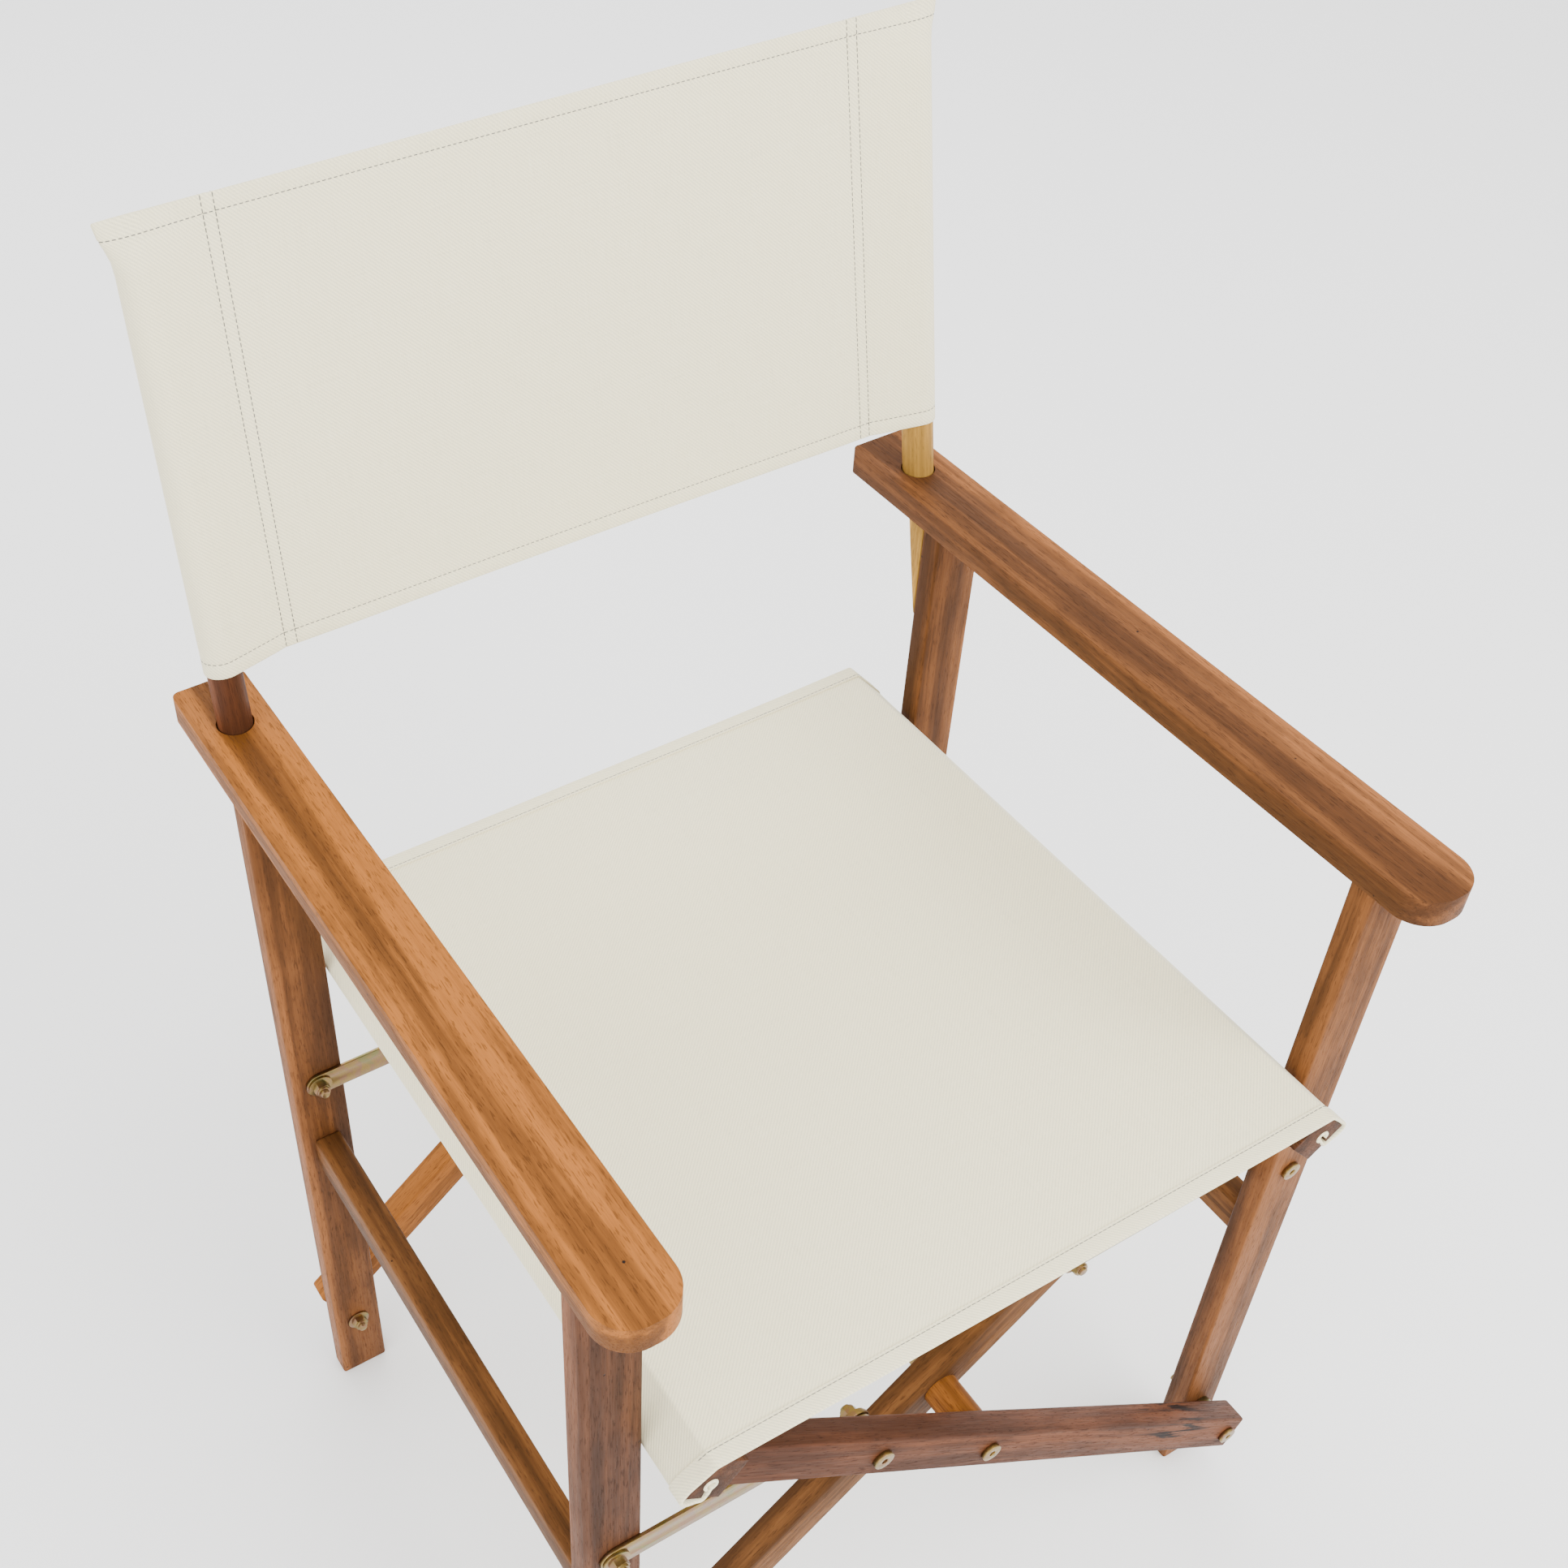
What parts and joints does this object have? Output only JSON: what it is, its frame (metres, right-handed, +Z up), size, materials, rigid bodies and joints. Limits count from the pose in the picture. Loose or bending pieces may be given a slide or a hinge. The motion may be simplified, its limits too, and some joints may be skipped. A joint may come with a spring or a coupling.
{
  "type": "folding chair",
  "caption": "Folding armchair: crossed wooden leg frames, flat armrests, raked back dowels, canvas seat and canvas back, folding sideways.",
  "frame": {"origin": "on the floor, under the middle of the open chair's outer box", "axes": "+Z up; +Y from the front to the back; +X to the right as seen from the front, across the chair"},
  "size_m": [0.551, 0.5354, 0.9478],
  "materials": {
    "arm_wood": "oiled",
    "post_wood": "oiled",
    "leg_wood_red": "oiled",
    "leg_wood_olive": "oiled",
    "dark_wood": "oiled",
    "dowel_wood": "oiled",
    "pale_wood": "oiled",
    "pin_wood": "plain",
    "zinc": "yellow passivated",
    "rod": "matt",
    "canvas": "ecru canvas"
  },
  "bodies": {
    "side_left": {"arm_left": "arm_wood", "post_front_left": "post_wood", "post_rear_left": "post_wood", "side_rail_left": "post_wood", "wedge_left": "pale_wood", "dowel_left": "dowel_wood", "joint_pins_left": "pin_wood", "strap_bolts_left": "zinc", "strap_nuts_left": "zinc", "foot_bolts_left": "zinc", "foot_nuts_left": "zinc", "foot_spacers_left": "zinc", "back_canvas": "canvas"},
    "side_right": {"arm_right": "arm_wood", "post_front_right": "post_wood", "post_rear_right": "post_wood", "side_rail_right": "post_wood", "wedge_right": "pale_wood", "dowel_right": "dowel_wood", "joint_pins_right": "pin_wood", "strap_bolts_right": "zinc", "strap_nuts_right": "zinc", "foot_bolts_right": "zinc", "foot_nuts_right": "zinc", "foot_spacers_right": "zinc"},
    "legs_a": {"leg_front_inner": "leg_wood_olive", "leg_rear_outer": "leg_wood_olive", "seat_rail_right": "dark_wood", "seat_rod_right": "rod", "leg_pins_a": "pin_wood", "leg_bolts_a": "zinc", "leg_spacers_a": "zinc"},
    "legs_b": {"leg_front_outer": "leg_wood_red", "leg_rear_inner": "leg_wood_red", "seat_rail_left": "dark_wood", "seat_rod_left": "rod", "leg_pins_b": "pin_wood", "leg_bolts_b": "zinc", "leg_spacers_b": "zinc", "cross_bolts": "zinc", "cross_nuts": "zinc", "cross_spacer_front": "post_wood", "cross_spacer_rear": "post_wood", "seat_canvas": "canvas"},
    "strap_front_left": {"strap_front_left": "zinc", "strap_end_nuts_front_left": "zinc"},
    "strap_rear_left": {"strap_rear_left": "zinc", "strap_end_nuts_rear_left": "zinc"},
    "strap_front_right": {"strap_front_right": "zinc", "strap_end_nuts_front_right": "zinc"},
    "strap_rear_right": {"strap_rear_right": "zinc", "strap_end_nuts_rear_right": "zinc"}
  },
  "joints": [
    {"name": "fold", "type": "hinge", "parent": "side_left", "child": "legs_a", "pos_m": [-0.25375, 0, 0.065], "axis": [0, -1, 0], "range_deg": [0, 37.8]},
    {"name": "leg_cross", "type": "hinge", "parent": "legs_a", "child": "legs_b", "pos_m": [0, 0, 0.2802], "axis": [0, -1, 0], "range_deg": [-84.3, 0], "deforming": ["seat_canvas"]},
    {"name": "side_swing", "type": "hinge", "parent": "legs_b", "child": "side_right", "pos_m": [0.25375, 0, 0.065], "axis": [0, -1, 0], "range_deg": [0, 38], "deforming": ["back_canvas"]},
    {"name": "strap_turn_front_left", "type": "hinge", "parent": "side_left", "child": "strap_front_left", "pos_m": [-0.25375, 0, 0.358], "axis": [0, -1, 0], "range_deg": [0, 68.77]},
    {"name": "strap_turn_rear_left", "type": "hinge", "parent": "side_left", "child": "strap_rear_left", "pos_m": [-0.25375, 0, 0.358], "axis": [0, -1, 0], "range_deg": [0, 68.77]},
    {"name": "strap_turn_front_right", "type": "hinge", "parent": "side_right", "child": "strap_front_right", "pos_m": [0.25375, 0, 0.358], "axis": [0, -1, 0], "range_deg": [-68.77, 0]},
    {"name": "strap_turn_rear_right", "type": "hinge", "parent": "side_right", "child": "strap_rear_right", "pos_m": [0.25375, 0, 0.358], "axis": [0, -1, 0], "range_deg": [-68.77, 0]}
  ],
  "couplings": [
    {"joint": "leg_cross", "follows": "fold", "ratio": -2.2222},
    {"joint": "side_swing", "follows": "fold", "ratio": 1},
    {"joint": "strap_turn_front_left", "follows": "fold", "ratio": 1.806},
    {"joint": "strap_turn_rear_left", "follows": "fold", "ratio": 1.806},
    {"joint": "strap_turn_front_right", "follows": "fold", "ratio": -1.806},
    {"joint": "strap_turn_rear_right", "follows": "fold", "ratio": -1.806}
  ]
}
